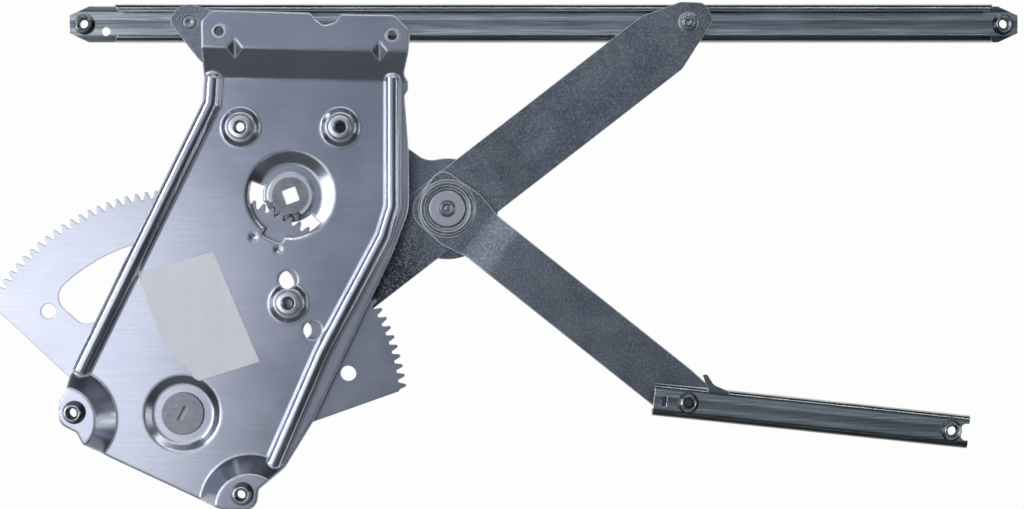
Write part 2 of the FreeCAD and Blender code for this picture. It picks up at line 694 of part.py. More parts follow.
def glass_rail():
    """Upper channel, open towards the inner panel, with its ends cut back to a tapered web."""
    rail = channel(glass_rail_start, glass_rail_end, glass_rail_height, glass_rail_depth,
                   glass_rail_sheet, glass_rail_lip, glass_rail_back, glass_rail_front)
    half = glass_rail_height / 2
    web_front = glass_rail_back - glass_rail_sheet
    taper_length, taper_half = glass_rail_taper
    for end, inward, cut_back in zip((glass_rail_start, glass_rail_end), (1, -1), glass_rail_cut_backs):
        corners = [(end - inward, half + 1), (end + inward * cut_back, half + 1),
                   (end + inward * (cut_back + 7), 0), (end + inward * cut_back, -half - 1),
                   (end - inward, -half - 1)]
        trim = slab([(x, z, 0) for x, z in corners], glass_rail_front - 1, web_front)
        rail = rail.cut(trim)
        for side in (1, -1):
            wedge = [(end - inward, side * taper_half, 0),
                     (end + inward * taper_length, side * (half + 1), 0),
                     (end - inward, side * (half + 1), 0)]
            rail = rail.cut(slab(wedge, web_front - 1, glass_rail_back + 1))
        rail = rail.cut(disc(end + inward * rail_nut_inset, 0, nut_hole_radius,
                             web_front - 1, glass_rail_back + 1))
    rail = rail.cut(disc(glass_rail_start + locating_hole_inset, -locating_hole_drop, locating_hole_radius,
                         web_front - 1, glass_rail_back + 1))
    rail.translate(Vector(0, 0, tip_z))
    return rail


def guide_rail():
    """Lower channel, open towards the glass, with a forked end, a slot and a curved tang."""
    rail = channel(guide_rail_start, guide_rail_end, guide_rail_height, guide_rail_depth,
                   guide_rail_sheet, guide_rail_lip, guide_rail_front, guide_rail_back)
    web_back = guide_rail_front + guide_rail_sheet
    half = guide_rail_height / 2
    inner_end = guide_rail_end - fork_depth
    outer_end = guide_rail_end + 1
    fork = [(inner_end, -fork_half_width, fork_half_width / 2), (outer_end, -fork_half_width, 0),
            (outer_end, fork_half_width, 0), (inner_end, fork_half_width, fork_half_width / 2)]
    rail = rail.cut(slab(fork, guide_rail_front - 1, web_back + 0.5))
    left, right = guide_slot_along
    low, high = guide_slot_across
    slot = [(left, low, 0), (right, low, 0), (right, high, 0), (left, high, 0)]
    rail = rail.cut(slab(slot, guide_rail_front - 1, web_back + 0.5))
    tang = [(8.0, half - 3.0, 0), (8.2, half - 0.5, 1), (4.4, half + 7.0, 0.6), (6.8, half + 7.6, 0.6),
            (11.0, half + 2.2, 5), (20.0, half - 0.6, 3), (20.0, half - 3.0, 0)]
    rail = rail.fuse(slab(tang, guide_rail_front, web_back))
    for along in guide_nut_along:
        rail = rail.cut(disc(along, 0, nut_hole_radius, guide_rail_front - 1, web_back + 0.5))
    return set_along(rail.removeSplitter(), lower_x, lower_z, guide_tilt)


def roller_pin(x, z, radius, arm_far, roller_far, outward, flush):
    """Pin riveted in an arm, with a head beyond the roller; outward is the rail's side, -1 or 1 in Y."""
    head = roller_far + outward * shaft_gap * 2
    low, high = sorted((arm_far, head))
    pin = disc(x, z, radius, low, high)
    low, high = sorted((head, head + outward * pin_head_height))
    pin = pin.fuse(disc(x, z, pin_head_radius, low, high))
    if not flush:
        low, high = sorted((arm_far, arm_far - outward * pin_head_height))
        pin = pin.fuse(disc(x, z, pin_head_radius, low, high))
    return pin.removeSplitter()


def roller(x, z, radius, bore, front, back):
    """Plastic roller, bevelled to clear the bends inside its rail."""
    return turned([(bore, front), (radius - roller_bevel, front), (radius, front + roller_bevel),
                   (radius, back - roller_bevel), (radius - roller_bevel, back), (bore, back)], x, z)


def centre_rivet():
    """Rivet through both equaliser halves, with a small head in front and a flat tail behind."""
    washer_front = lower_hub_front - centre_washer_sheet
    front = washer_front - centre_head_height
    return turned([(0, front), (centre_head_radius, front), (centre_head_radius, washer_front),
                   (centre_shank_radius, washer_front), (centre_shank_radius, upper_back),
                   (centre_tail_radius, upper_back), (centre_tail_radius, centre_tail_back),
                   (0, centre_tail_back)], centre_x, centre_z)


def sector_rivets():
    """Rivets from sector to lift arm: low heads in front, flush behind."""
    rivets = []
    for along, across in sector_rivet_places:
        rivet = disc(along, across, sector_rivet_radius, sector_front, lift_back)
        head_front = sector_front - sector_rivet_head_height
        head = disc(along, across, sector_rivet_head_radius, head_front, sector_front)
        rivets.append(set_along(rivet.fuse(head).removeSplitter(), pivot_x, pivot_z, lift_angle))
    return Part.makeCompound(rivets)


def nuts_at(places, seat, flange, crown_radius, height, outward=-1, pilot=0.0):
    """Group of like nuts on one face."""
    nuts = [clinch_nut(x, z, seat, flange, crown_radius, height, outward, pilot) for x, z in places]
    return Part.makeCompound(nuts)


roller_radius = glass_rail_height / 2 - glass_rail_sheet - roller_gap
guide_roller_radius = guide_rail_height / 2 - guide_rail_sheet - roller_gap
roller_front = glass_rail_front + glass_rail_sheet + running_gap
roller_back = roller_front + roller_width
guide_roller_back = guide_rail_back - guide_rail_sheet - running_gap
guide_roller_front = guide_roller_back - guide_roller_width
bush_back = upper_front
pivot_washer_front = sector_back + running_gap
glass_nut_places = [(glass_rail_start + rail_nut_inset, tip_z), (glass_rail_end - rail_nut_inset, tip_z)]
guide_nut_places = [polar(lower_x, lower_z, along, guide_tilt) for along in guide_nut_along]

nodes = {
    "base_plate": base_plate(),
    "panel_nuts": nuts_at(panel_nut_places, flange_front + plate_sheet, panel_nut_radius, panel_nut_radius,
                          panel_nut_height, 1),
    "door_nuts": nuts_at(ear_nut_places, flange_front, door_nut_flange_radius,
                         door_nut_flange_radius * nut_taper, door_nut_height),
    "motor_nuts": nuts_at(boss_places, plate_front - boss_rise, motor_nut_radius, motor_nut_radius,
                          motor_nut_height),
    "pivot_rivet": pivot_rivet(),
    "pivot_washer": washer(pivot_x, pivot_z, pivot_shank_radius, pivot_washer_radius, pivot_washer_front,
                           pivot_washer_front + pivot_washer_sheet),
    "drive_pinion": drive_pinion(),
    "pinion_ring": pinion_ring(),
    "sector_gear": sector_gear(),
    "sector_rivets": sector_rivets(),
    "lift_arm": lift_arm(),
    "lift_roller_pin": roller_pin(tip_x, tip_z, pin_radius, lift_tip_front, roller_back, 1, False),
    "lift_roller": roller(tip_x, tip_z, roller_radius, pin_radius + shaft_gap, roller_front, roller_back),
    "lower_equaliser_arm": lower_equaliser_arm(),
    "upper_equaliser_arm": upper_equaliser_arm(),
    "centre_rivet": centre_rivet(),
    "centre_bush": washer(centre_x, centre_z, centre_shank_radius, bush_radius, lower_hub_back, bush_back),
    "centre_washer": washer(centre_x, centre_z, centre_shank_radius, centre_washer_radius,
                            lower_hub_front - centre_washer_sheet, lower_hub_front),
    "upper_roller_pin": roller_pin(upper_x, upper_z, pin_radius, upper_front, roller_back, 1, True),
    "upper_roller": roller(upper_x, upper_z, roller_radius, pin_radius + shaft_gap,
                           roller_front, roller_back),
    "guide_roller_pin": roller_pin(lower_x, lower_z, guide_pin_radius, lower_tip_back, guide_roller_front,
                                   -1, False),
    "guide_roller": roller(lower_x, lower_z, guide_roller_radius, guide_pin_radius + shaft_gap,
                           guide_roller_front, guide_roller_back),
    "glass_rail": glass_rail(),
    "glass_rail_nuts": nuts_at(glass_nut_places, glass_rail_back - glass_rail_sheet, rail_nut_radius,
                               rail_nut_radius * nut_taper, rail_nut_height, pilot=glass_rail_sheet),
    "guide_rail": guide_rail(),
    "guide_rail_nuts": nuts_at(guide_nut_places, guide_rail_front, rail_nut_radius,
                               rail_nut_radius * nut_taper, rail_nut_height),
}

os.makedirs("parts", exist_ok=True)
for name, shape in nodes.items():
    shape.exportStep("parts/%s.step" % name)
    print(name, "solids", len(shape.Solids), "valid", shape.isValid(), "volume", round(shape.Volume, 1))
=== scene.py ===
import json
import math

import bmesh
import bpy
import numpy as np
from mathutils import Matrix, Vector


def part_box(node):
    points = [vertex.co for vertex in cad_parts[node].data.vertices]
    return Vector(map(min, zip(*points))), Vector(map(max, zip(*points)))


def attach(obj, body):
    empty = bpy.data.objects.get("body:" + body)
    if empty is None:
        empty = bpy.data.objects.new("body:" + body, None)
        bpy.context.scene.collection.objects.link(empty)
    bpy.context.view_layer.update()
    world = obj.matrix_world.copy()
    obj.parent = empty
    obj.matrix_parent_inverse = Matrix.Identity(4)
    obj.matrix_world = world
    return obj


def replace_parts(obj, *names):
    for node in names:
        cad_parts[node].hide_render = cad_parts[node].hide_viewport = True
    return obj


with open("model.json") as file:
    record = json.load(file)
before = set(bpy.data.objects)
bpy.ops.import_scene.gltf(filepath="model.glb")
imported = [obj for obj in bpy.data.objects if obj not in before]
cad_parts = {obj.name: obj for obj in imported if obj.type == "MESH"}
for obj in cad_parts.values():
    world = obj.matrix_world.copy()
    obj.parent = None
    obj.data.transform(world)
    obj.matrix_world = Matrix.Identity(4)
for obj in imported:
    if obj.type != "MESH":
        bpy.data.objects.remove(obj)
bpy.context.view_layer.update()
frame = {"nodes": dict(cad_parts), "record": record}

# The studio. The regulator hangs upright before a plain white background, over a pale floor, and a long lens
# looks square at the base plate from 1.4 m, as a catalogue camera does. Lengths in this section are in metres.
MM = 0.001
PIXELS_ACROSS = 1024
PIXEL = 0.55 * MM
VIEW_DISTANCE = 1.4
VIEW_CENTRE = (0.1221, -0.0325)
SENSOR = 36.0
FLOOR_Z = -1.1
FLOOR_REACH = 9
scene = bpy.context.scene
scene.view_settings.view_transform = "Standard"


def linear(hex_colour):
    """A colour written as sRGB hex, turned to the linear values that shaders take."""
    channels = [int(hex_colour[i:i + 2], 16) / 255 for i in (1, 3, 5)]
    return tuple(c / 12.92 if c <= 0.04045 else ((c + 0.055) / 1.055) ** 2.4 for c in channels) + (1.0,)


def add_node(tree, kind, settings=None, inputs=None):
    """Adds one shader node: settings are its properties, inputs its sockets' values or what is linked to them."""
    made = tree.nodes.new(kind)
    for name, value in (settings or {}).items():
        setattr(made, name, value)
    for name, value in (inputs or {}).items():
        if isinstance(value, bpy.types.NodeSocket):
            tree.links.new(value, made.inputs[name])
        else:
            made.inputs[name].default_value = value
    return made


def new_material(name):
    """An empty node material and its tree, with an output node."""
    material = bpy.data.materials.new(name)
    material.use_nodes = True
    material.node_tree.nodes.clear()
    return material, material.node_tree, add_node(material.node_tree, "ShaderNodeOutputMaterial")


def set_stops(ramp, stops):
    """Gives a ramp its stops, as (position, colour), the first at 0 and the last at 1."""
    for position, colour in stops[1:-1]:
        ramp.elements.new(position).color = colour
    ramp.elements[0].color = stops[0][1]
    ramp.elements[-1].color = stops[-1][1]


def shows_background(tree, way):
    """1 for rays from the camera and through openings, and for mirrored rays as way's Y goes from 0.1 to 0.3."""
    path = add_node(tree, "ShaderNodeLightPath")
    depth = add_node(tree, "ShaderNodeSeparateXYZ", inputs={0: way})
    behind = add_node(tree, "ShaderNodeMapRange",
                      inputs={"Value": depth.outputs["Y"], "From Min": 0.1, "From Max": 0.3})
    mirrored = add_node(tree, "ShaderNodeMath", {"operation": "MULTIPLY"},
                        {0: path.outputs["Is Glossy Ray"], 1: behind.outputs[0]})
    seen = add_node(tree, "ShaderNodeMath", {"operation": "MAXIMUM"},
                    {0: path.outputs["Is Camera Ray"], 1: mirrored.outputs[0]})
    return add_node(tree, "ShaderNodeMath", {"operation": "MAXIMUM"},
                    {0: seen.outputs[0], 1: path.outputs["Is Transmission Ray"]}).outputs[0]


floor_mesh = bpy.data.meshes.new("floor")
floor_mesh.from_pydata([(side_x * FLOOR_REACH, side_y * FLOOR_REACH, FLOOR_Z)
                        for side_x, side_y in ((-1, -1), (1, -1), (1, 1), (-1, 1))], [], [(0, 1, 2, 3)])
floor = bpy.data.objects.new("floor", floor_mesh)
scene.collection.objects.link(floor)

# Matt emulsion paint. It returns a soft mid grey to the object, and shows plain white where the eye looks at it.
floor_paint, tree, output = new_material("matt_floor_paint")
paint = add_node(tree, "ShaderNodeBsdfDiffuse", inputs={"Color": linear("#a3a8a5")})
seen = shows_background(tree, add_node(tree, "ShaderNodeTexCoord").outputs["Object"])
glow = add_node(tree, "ShaderNodeEmission", inputs={"Color": linear("#f9f9f9"), "Strength": seen})
both = add_node(tree, "ShaderNodeAddShader", inputs={0: paint.outputs[0], 1: glow.outputs[0]})
tree.links.new(both.outputs[0], output.inputs["Surface"])
floor_mesh.materials.append(floor_paint)

lens = bpy.data.cameras.new("catalogue_camera")
lens.sensor_width = SENSOR
lens.lens = SENSOR * VIEW_DISTANCE / (PIXELS_ACROSS * PIXEL)
camera = bpy.data.objects.new("catalogue_camera", lens)
camera.location = (VIEW_CENTRE[0], -VIEW_DISTANCE, VIEW_CENTRE[1])
camera.rotation_euler = (math.pi / 2, 0, 0)
scene.collection.objects.link(camera)
scene.camera = camera


def soft_box(name, place, aim, width, height, power, hex_colour="#ffffff"):
    """Rectangular area lamp of a power in watts at a place, turned to an aim."""
    data = bpy.data.lights.new(name, "AREA")
    data.shape = "RECTANGLE"
    data.size = width
    data.size_y = height
    data.energy = power
    data.color = linear(hex_colour)[:3]
    lamp = bpy.data.objects.new(name, data)
    lamp.location = place
    direction = np.array(aim, float) - np.array(place, float)
    flat = math.hypot(direction[0], direction[1])
    lamp.rotation_euler = (math.atan2(flat, -direction[2]), 0, math.atan2(-direction[0], direction[1]))
    scene.collection.objects.link(lamp)


# A near box low on the left whitens the plate's lower left corner, as the photo shows it. Narrow strips draw the
# lines of light along the bends: two upright ones for the ribs, a low and a high one for the step and the rails.
soft_box("near_low_left", (-0.32, -0.68, -0.12), (-0.15, 0, -0.08), 0.36, 0.36, 0.6, "#fcfbff")
soft_box("strip_left", (-1.05, -0.85, 0.15), (0, 0, 0), 0.2, 1.1, 8.0, "#f6f9ff")
soft_box("strip_right", (1.3, -0.75, 0.0), (0.15, 0, 0), 0.08, 0.9, 1.8)
soft_box("strip_low", (0.0, -0.95, -0.5), (0.05, 0, 0.05), 1.0, 0.04, 0.3)
soft_box("strip_high", (0.2, -0.9, 0.85), (0.15, 0, 0.05), 1.5, 0.12, 3.4)

# Two strips square to the sides catch the bead of the hub, the rims and the far edge of the lift arm's tip.
soft_box("side_left", (-1.3, -0.1, 0.0), (0, 0, 0), 0.1, 0.8, 0.5)
soft_box("side_right", (1.4, -0.1, -0.3), (0.15, 0, 0), 0.1, 0.7, 1.2)

# The room round the camera: bright from the front and a little from the left, dark at the sides, above and
# below. The background behind the object is plain white to the camera, through openings and in mirrored rays.
ROOM_FRONT = (-0.29, -0.94, 0.17)
ROOM_STRENGTH = 0.66
ROOM_TONES = [(0.0, "#2f3a3c"), (0.5, "#2c3639"), (0.78, "#515d66"), (0.93, "#99a2b1"), (1.0, "#d9def0")]
world = bpy.data.worlds.new("studio_room")
world.use_nodes = True
scene.world = world
tree = world.node_tree
tree.nodes.clear()
direction = add_node(tree, "ShaderNodeTexCoord")
front = add_node(tree, "ShaderNodeVectorMath", {"operation": "DOT_PRODUCT"},
                 {0: direction.outputs["Generated"], 1: ROOM_FRONT})
ramp = add_node(tree, "ShaderNodeValToRGB", inputs={0: front.outputs["Value"]})
set_stops(ramp.color_ramp, [(position, linear(hex_colour)) for position, hex_colour in ROOM_TONES])
room = add_node(tree, "ShaderNodeBackground", inputs={"Color": ramp.outputs[0], "Strength": ROOM_STRENGTH})
white = add_node(tree, "ShaderNodeBackground", inputs={"Color": linear("#fdfdfd"), "Strength": 1.0})
seen = shows_background(tree, direction.outputs["Generated"])
shown = add_node(tree, "ShaderNodeMixShader", inputs={0: seen, 1: room.outputs[0], 2: white.outputs[0]})
add_node(tree, "ShaderNodeOutputWorld", inputs={"Surface": shown.outputs[0]})


# The base plate. One stamping of 2 mm zinc-plated steel: a flat pan with a stepped flange, two half-round
# ribs, three motor bosses, the pinion's dish and the rivet's recess. Cold-rolled sheet keeps a faint grain
# along its length, cloudy patches in the passivated zinc and fine handling scratches.
FACET_ANGLE = 13.0
RIM_ANGLE = 50.0


def merged_copy(name, cad_node, body, material, bevel=0.25):
    """A merged copy of a CAD node: flat facets dissolved, round ones smoothed, rims broken by a small bevel.

    Edges of less than FACET_ANGLE lie in a curve, and those of more than RIM_ANGLE are broken. bevel is the
    width of the broken edge in millimetres."""
    source = frame["nodes"][cad_node]
    mesh = source.data.copy()
    mesh.name = name
    work = bmesh.new()
    work.from_mesh(mesh)
    bmesh.ops.remove_doubles(work, verts=work.verts, dist=0.001 * MM)
    bmesh.ops.dissolve_limit(work, angle_limit=math.radians(0.5), verts=work.verts, edges=work.edges)
    for face in work.faces:
        face.smooth = True
    for edge in work.edges:
        edge.smooth = edge.calc_face_angle(0) < math.radians(FACET_ANGLE)
    work.to_mesh(mesh)
    work.free()
    mesh.materials.clear()
    mesh.materials.append(material)
    piece = bpy.data.objects.new(name, mesh)
    scene.collection.objects.link(piece)
    edge_break = piece.modifiers.new("edge_break", "BEVEL")
    edge_break.width = bevel * MM
    edge_break.segments = 2
    edge_break.limit_method = "ANGLE"
    edge_break.angle_limit = math.radians(RIM_ANGLE)
    edge_break.harden_normals = True
    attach(piece, body)
    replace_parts(piece, cad_node)
    return piece


# The patterns' origin lies off the object's, by this shift in metres. Spacings are in millimetres, angles in
# radians, and a stretch is the share of a pattern's scale that is left along its lines.
PATTERN_SHIFT = (0.0137, 0.0093, 0.0071)
GRAIN_STRETCH = 0.03
SCRATCH_SPACING = 11.0
SCRATCH_ANGLE = 0.9
SCRATCH_STRETCH = 0.12
SCRATCH_HEX = "#dfe3ea"
RUBBED_HEX = "#eceff5"
BEVEL_SAMPLES = 12


def plated_sheet(name, bright, dull, bend, rub, cloud=35.0, grain=0.35, grain_angle=0.0, streak=0.05,
                 roughness=(0.22, 0.265), fleck=0.0, fleck_size=0.9, fleck_hex="#ffffff", scratch=0.2, pit=0.0,
                 bands=None):
    """Plated sheet: two tones in cloudy patches, a drawn grain, flecks, scratches, and edges rubbed bright.

    cloud is the size of the patches, grain the spacing of the drawn lines and bend the radius to which the
    shading rounds the pressed edges, all in millimetres. Where the rounded normal leaves the face's own, the coat
    is worn to a pale, chalky line of strength rub. pit is the depth of the finest pits, in millimetres, and they
    lie where the flecks do. bands, if given, returns the tones of a strip, and they multiply the colour."""
    material, tree, output = new_material(name)
    own = add_node(tree, "ShaderNodeTexCoord").outputs["Object"]
    place = add_node(tree, "ShaderNodeMapping", inputs={"Vector": own, "Location": PATTERN_SHIFT}).outputs[0]
    turned = add_node(tree, "ShaderNodeMapping", inputs={"Vector": place, "Rotation": (0, grain_angle, 0),
                                                         "Scale": (GRAIN_STRETCH, 1.0, 1.0)})
    clouds = add_node(tree, "ShaderNodeTexNoise", inputs={"Vector": place, "Scale": 1 / (cloud * MM),
                                                          "Detail": 2.0, "Roughness": 0.5})
    grains = add_node(tree, "ShaderNodeTexNoise",
                      inputs={"Vector": turned.outputs[0], "Scale": 1 / (grain * 2 * MM), "Detail": 2.0,
                              "Roughness": 0.6})
    tone = add_node(tree, "ShaderNodeMapRange", inputs={"Value": clouds.outputs[0], "From Min": 0.25,
                                                        "From Max": 0.75})
    colour = add_node(tree, "ShaderNodeMix", {"data_type": "RGBA"},
                      {"Factor": tone.outputs[0], 6: linear(dull), 7: linear(bright)})
    lines = add_node(tree, "ShaderNodeMapRange",
                     inputs={"Value": grains.outputs[0], "From Min": 0.3, "From Max": 0.7,
                             "To Min": 1.0 - streak * 2, "To Max": 1.0 + streak})
    drawn = add_node(tree, "ShaderNodeVectorMath", {"operation": "SCALE"},
                     {0: colour.outputs[2], "Scale": lines.outputs[0]})
    shown = drawn.outputs[0]
    if bands:
        shown = add_node(tree, "ShaderNodeVectorMath", {"operation": "MULTIPLY"},
                         {0: shown, 1: bands(tree)}).outputs[0]
    if fleck or pit:
        mottle = add_node(tree, "ShaderNodeTexNoise", inputs={"Vector": place, "Scale": 1 / (fleck_size * MM),
                                                              "Detail": 2.0, "Roughness": 0.55})
    if fleck:
        dots = add_node(tree, "ShaderNodeMapRange", inputs={"Value": mottle.outputs[0], "From Min": 0.5,
                                                            "From Max": 0.62, "To Max": fleck})
        shown = add_node(tree, "ShaderNodeMix", {"data_type": "RGBA"},
                         {"Factor": dots.outputs[0], 6: shown, 7: linear(fleck_hex)}).outputs[2]
    if scratch:
        marks_place = add_node(tree, "ShaderNodeMapping",
                               inputs={"Vector": place, "Rotation": (0, SCRATCH_ANGLE, 0),
                                       "Scale": (SCRATCH_STRETCH, 1.0, 1.0)})
        marks = add_node(tree, "ShaderNodeTexVoronoi", {"feature": "DISTANCE_TO_EDGE"},
                         {"Vector": marks_place.outputs[0], "Scale": 1 / (SCRATCH_SPACING * MM)})
        cut = add_node(tree, "ShaderNodeMapRange", inputs={"Value": marks.outputs[0], "From Min": 0.0,
                                                           "From Max": 0.015, "To Min": scratch, "To Max": 0.0})
        broken = add_node(tree, "ShaderNodeMath", {"operation": "MULTIPLY"},
                          {0: cut.outputs[0], 1: tone.outputs[0]})
        shown = add_node(tree, "ShaderNodeMix", {"data_type": "RGBA"},
                         {"Factor": broken.outputs[0], 6: shown, 7: linear(SCRATCH_HEX)}).outputs[2]
    flat = add_node(tree, "ShaderNodeNewGeometry").outputs["Normal"]
    normal = add_node(tree, "ShaderNodeBevel", {"samples": BEVEL_SAMPLES}, {"Radius": bend * MM}).outputs[0]
    along = add_node(tree, "ShaderNodeVectorMath", {"operation": "DOT_PRODUCT"}, {0: normal, 1: flat})
    worn = add_node(tree, "ShaderNodeMapRange", inputs={"Value": along.outputs["Value"], "From Min": 0.997,
                                                        "From Max": 0.965, "To Max": rub})
    shown = add_node(tree, "ShaderNodeMix", {"data_type": "RGBA"},
                     {"Factor": worn.outputs[0], 6: shown, 7: linear(RUBBED_HEX)}).outputs[2]
    metal = add_node(tree, "ShaderNodeMath", {"operation": "SUBTRACT"}, {0: 1.0, 1: worn.outputs[0]})
    if pit:
        normal = add_node(tree, "ShaderNodeBump", inputs={"Height": mottle.outputs[0], "Distance": pit * MM,
                                                          "Normal": normal}).outputs[0]
    rough = add_node(tree, "ShaderNodeMapRange",
                     inputs={"Value": clouds.outputs[0], "From Min": 0.3, "From Max": 0.7,
                             "To Min": roughness[0], "To Max": roughness[1]})
    surface = add_node(tree, "ShaderNodeBsdfPrincipled",
                       inputs={"Base Color": shown, "Metallic": metal.outputs[0], "Roughness": rough.outputs[0],
                               "Normal": normal})
    tree.links.new(surface.outputs[0], output.inputs["Surface"])
    return material


merged_copy("base_plate_stamping", "base_plate", "base",
            plated_sheet("zinc_plated_sheet", "#c6cad6", "#b3b8c5", bend=2.2, rub=0.5, grain_angle=1.57,
                         streak=0.025))


# The nuts. Cold-formed and bright zinc-plated, pressed through the sheet so that each pilot is flush behind.
# Every one has a round shoulder, a short conical body and a countersunk mouth with an M6 thread inside.
def swept_ring(rows, around):
    """Vertices of a surface round the Y axis: each row gives radii and depths for all angles, as two arrays."""
    angles = np.linspace(0, 2 * np.pi, around, endpoint=False)
    points = []
    for radius, depth in rows:
        radius = np.broadcast_to(radius, around)
        depth = np.broadcast_to(depth, around)
        points.append(np.stack([radius * np.cos(angles), depth, radius * np.sin(angles)], 1))
    return np.concatenate(points)


def ring_faces(count, around, closed=True):
    """Quads between the rows of a swept ring; closed joins the last row to the first."""
    row = np.arange(count if closed else count - 1)[:, None]
    column = np.arange(around)[None, :]
    following = (row + 1) % count
    beside = (column + 1) % around
    return np.stack([row * around + column, following * around + column,
                     following * around + beside, row * around + beside], -1).reshape(-1, 4)


SMOOTH_ANGLE = 40.0


def mesh_piece(name, vertices, faces, body, material):
    """A new piece from vertices in millimetres and quads, with its normals outwards, riding on a body."""
    mesh = bpy.data.meshes.new(name)
    mesh.from_pydata((vertices * MM).tolist(), [], faces.tolist())
    work = bmesh.new()
    work.from_mesh(mesh)
    bmesh.ops.remove_doubles(work, verts=work.verts, dist=1e-7)
    bmesh.ops.recalc_face_normals(work, faces=work.faces)
    for face in work.faces:
        face.smooth = True
    for edge in work.edges:
        edge.smooth = edge.calc_face_angle(0) < math.radians(SMOOTH_ANGLE)
    work.to_mesh(mesh)
    work.free()
    mesh.materials.append(material)
    piece = bpy.data.objects.new(name, mesh)
    scene.collection.objects.link(piece)
    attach(piece, body)
    return piece


THREAD_RADIUS = 2.5
THREAD_PITCH = 1.0
THREAD_DEPTH = 0.32
THREAD_ROWS_PER_TURN = 6
MOUTH_RADIUS = 3.8
MOUTH_DEPTH = 1.1
NUT_SIDES = 72
CROWN_SHARE = 0.72
LOW_NUT = 3.0


def nut_rows(seat, sheet, pilot, flange, height, outward):
    """Rows of one nut: flange, tapered body, countersink, thread and pilot, closed on itself.

    The thread is a radius that follows a triangle wave of angle and depth, one turn per pitch. A low nut is a
    disc without a taper."""
    turn = np.arange(NUT_SIDES) / NUT_SIDES
    top = seat + outward * height
    crown = flange * CROWN_SHARE if height > LOW_NUT else flange
    rows = [(flange - 0.2, seat), (flange, seat + outward * 0.2), (flange, seat + outward * 0.5),
            (crown + 0.05, top - outward * 0.6), (crown - 0.15, top - outward * 0.2), (crown - 0.55, top),
            (MOUTH_RADIUS, top), (MOUTH_RADIUS - 0.1, top - outward * 0.1)]
    start = top - outward * MOUTH_DEPTH
    end = seat - outward * sheet
    steps = max(8, int(abs(end - start) / THREAD_PITCH * THREAD_ROWS_PER_TURN))
    for share in np.linspace(0, 1, steps):
        depth = start + (end - start) * share
        wave = np.abs((turn - outward * depth / THREAD_PITCH) % 1.0 - 0.5) * 2
        rows.append((THREAD_RADIUS - 0.02 + THREAD_DEPTH * wave, depth))
    rows += [(THREAD_RADIUS + 0.5, end), (pilot - 0.15, end), (pilot, end + outward * 0.15), (pilot, seat)]
    return rows


def nut_group(name, cad_node, places, body, material, **size):
    """Like nuts at their places, each turned a little differently, as one piece that replaces the CAD node."""
    rows = nut_rows(**size)
    ring = swept_ring(rows, NUT_SIDES)
    faces = ring_faces(len(rows), NUT_SIDES)
    vertices = []
    quads = []
    for index, (x, z) in enumerate(places):
        turn = 0.6 + 1.1 * index
        spun = ring.copy()
        spun[:, 0] = ring[:, 0] * math.cos(turn) - ring[:, 2] * math.sin(turn) + x
        spun[:, 2] = ring[:, 0] * math.sin(turn) + ring[:, 2] * math.cos(turn) + z
        vertices.append(spun)
        quads.append(faces + index * len(ring))
    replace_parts(mesh_piece(name, np.concatenate(vertices), np.concatenate(quads), body, material),
                cad_node)


def mounts_named(*names):
    """Places (x, z) in millimetres of the record's mounts, in the order given."""
    found = {mount["name"]: mount["pos_m"] for mount in frame["record"]["mounts"]}
    return [(found[name][0] / MM, found[name][2] / MM) for name in names]


def nut_zinc(name, lit_face_hex, shaded_side_hex):
    """Bright zinc whose faces that look along Y are painted bright, as lit, and whose steep sides and thread are
    painted dark, as shade.
    """
    material, tree, output = new_material(name)
    coordinates = add_node(tree, "ShaderNodeTexCoord")
    normal = add_node(tree, "ShaderNodeSeparateXYZ", inputs={0: coordinates.outputs["Normal"]})
    facing = add_node(tree, "ShaderNodeMath", {"operation": "ABSOLUTE"}, {0: normal.outputs["Y"]})
    # Painted light: faces looking along Y take the bright tone, steep sides and the thread the dark one as painted
    # shade.
    plated = add_node(tree, "ShaderNodeMapRange",
                      inputs={"Value": facing.outputs[0], "From Min": 0.55, "From Max": 0.8})
    colour = add_node(tree, "ShaderNodeMix", {"data_type": "RGBA"},
                      {"Factor": plated.outputs[0], 6: linear(shaded_side_hex), 7: linear(lit_face_hex)})
    rounding = add_node(tree, "ShaderNodeBevel", {"samples": BEVEL_SAMPLES}, {"Radius": 0.3 * MM})
    surface = add_node(tree, "ShaderNodeBsdfPrincipled",
                       inputs={"Base Color": colour.outputs[2], "Metallic": 1.0, "Roughness": 0.29,
                               "Normal": rounding.outputs[0]})
    tree.links.new(surface.outputs[0], output.inputs["Surface"])
    return material


bright_zinc = nut_zinc("bright_zinc_nut", "#eef0f4", "#585d63")
FLANGE_FRONT = -12.0
BOSS_FRONT = -2.5
PLATE_SHEET = 2.0
RAIL_SHEET = 1.5
nut_group("flange_nuts", "panel_nuts", mounts_named("panel_nut_left", "panel_nut_right"), "base", bright_zinc,
          seat=FLANGE_FRONT + PLATE_SHEET, sheet=2.3, pilot=4.1, flange=6.0, height=4.5, outward=1)
nut_group("ear_nuts", "door_nuts", mounts_named("door_nut_left", "door_nut_lower"), "base", bright_zinc,
          seat=FLANGE_FRONT, sheet=PLATE_SHEET, pilot=3.35, flange=6.4, height=7.5, outward=-1)
nut_group("boss_nuts", "motor_nuts", mounts_named("motor_nut_left", "motor_nut_right", "motor_nut_lower"),
          "base", bright_zinc, seat=BOSS_FRONT, sheet=3.6, pilot=3.35, flange=6.4, height=2.2, outward=-1)
glass_rail_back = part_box("glass_rail")[1].y / MM
nut_group("glass_nuts", "glass_rail_nuts", mounts_named("glass_nut_left", "glass_nut_right"), "glass_rail",
          bright_zinc, seat=glass_rail_back - RAIL_SHEET, sheet=RAIL_SHEET, pilot=3.35, flange=5.9, height=5.0,
          outward=-1)
nut_group("guide_nuts", "guide_rail_nuts", mounts_named("guide_nut_left", "guide_nut_right"), "guide_rail",
          bright_zinc, seat=FLANGE_FRONT, sheet=RAIL_SHEET, pilot=3.35, flange=5.9, height=5.0, outward=-1)


